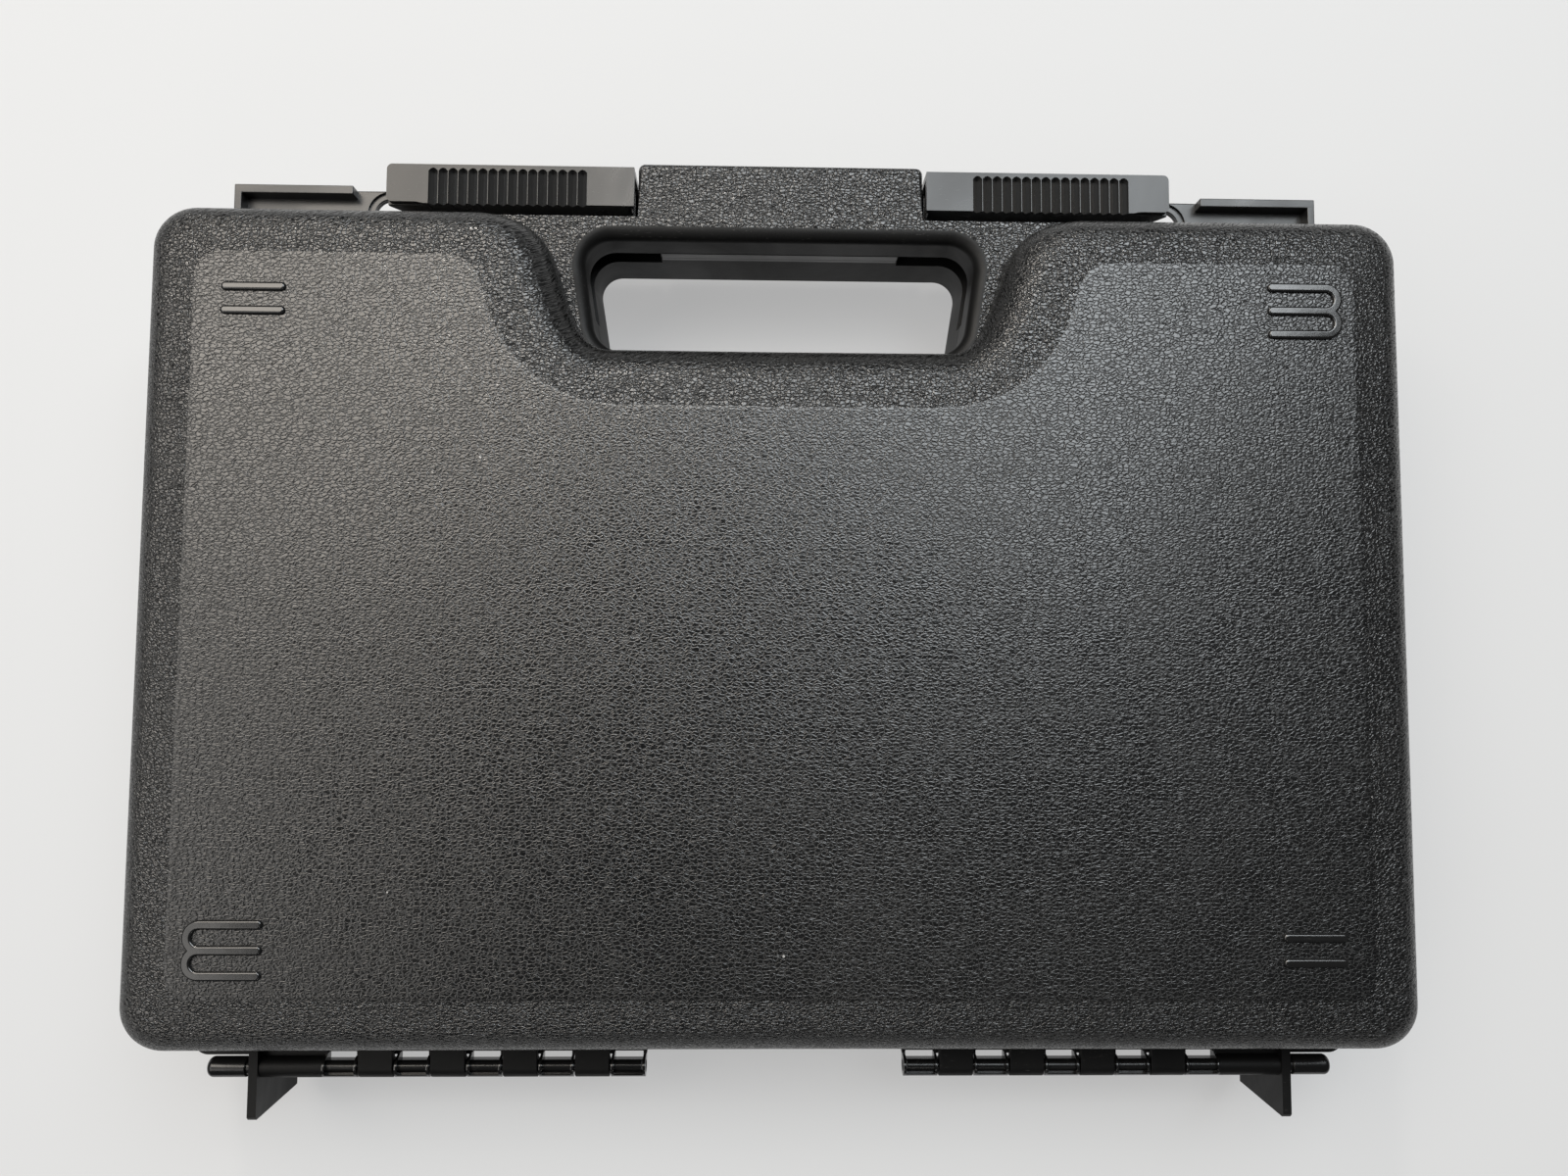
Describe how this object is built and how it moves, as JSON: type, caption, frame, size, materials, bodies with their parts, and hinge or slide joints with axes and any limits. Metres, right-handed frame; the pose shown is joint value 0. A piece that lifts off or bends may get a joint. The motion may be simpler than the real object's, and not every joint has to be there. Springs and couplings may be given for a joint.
{
  "type": "laptop hard case",
  "caption": "Moulded black hard case for a laptop: two hinged half shells with a carrying grip, sliding latches, padlock holes and foam padding.",
  "frame": {"origin": "middle of the closed case's outline, on the surface that it lies on", "axes": "+X to the right with the lid facing the viewer, +Y towards the carrying grip, +Z out of the lid's face"},
  "size_m": [0.4, 0.315, 0.082],
  "materials": {
    "grained_shell": "charcoal black polypropylene with a leather-like mould grain",
    "slider_plastic": "smooth satin black plastic, slightly polished by handling",
    "pin_plastic": "smooth black plastic rod",
    "foam": "open-cell charcoal foam"
  },
  "bodies": {
    "base": {"base_shell": "grained_shell", "hinge_pin_left": "pin_plastic", "hinge_pin_right": "pin_plastic", "base_pad": "foam", "pocket_frame": "foam"},
    "lid": {"lid_shell": "grained_shell", "lid_pad": "foam"},
    "latch_left": {"latch_slider_left": "slider_plastic"},
    "latch_right": {"latch_slider_right": "slider_plastic"}
  },
  "joints": [
    {"name": "lid_hinge", "type": "hinge", "parent": "base", "child": "lid", "pos_m": [0, -0.1415, 0.041], "axis": [1, 0, 0], "range_deg": [0, 120]},
    {"name": "latch_left_slide", "type": "slide", "parent": "lid", "child": "latch_left", "axis": [-1, 0, 0], "range_m": [0, 0.012]},
    {"name": "latch_right_slide", "type": "slide", "parent": "lid", "child": "latch_right", "axis": [1, 0, 0], "range_m": [0, 0.012]}
  ]
}
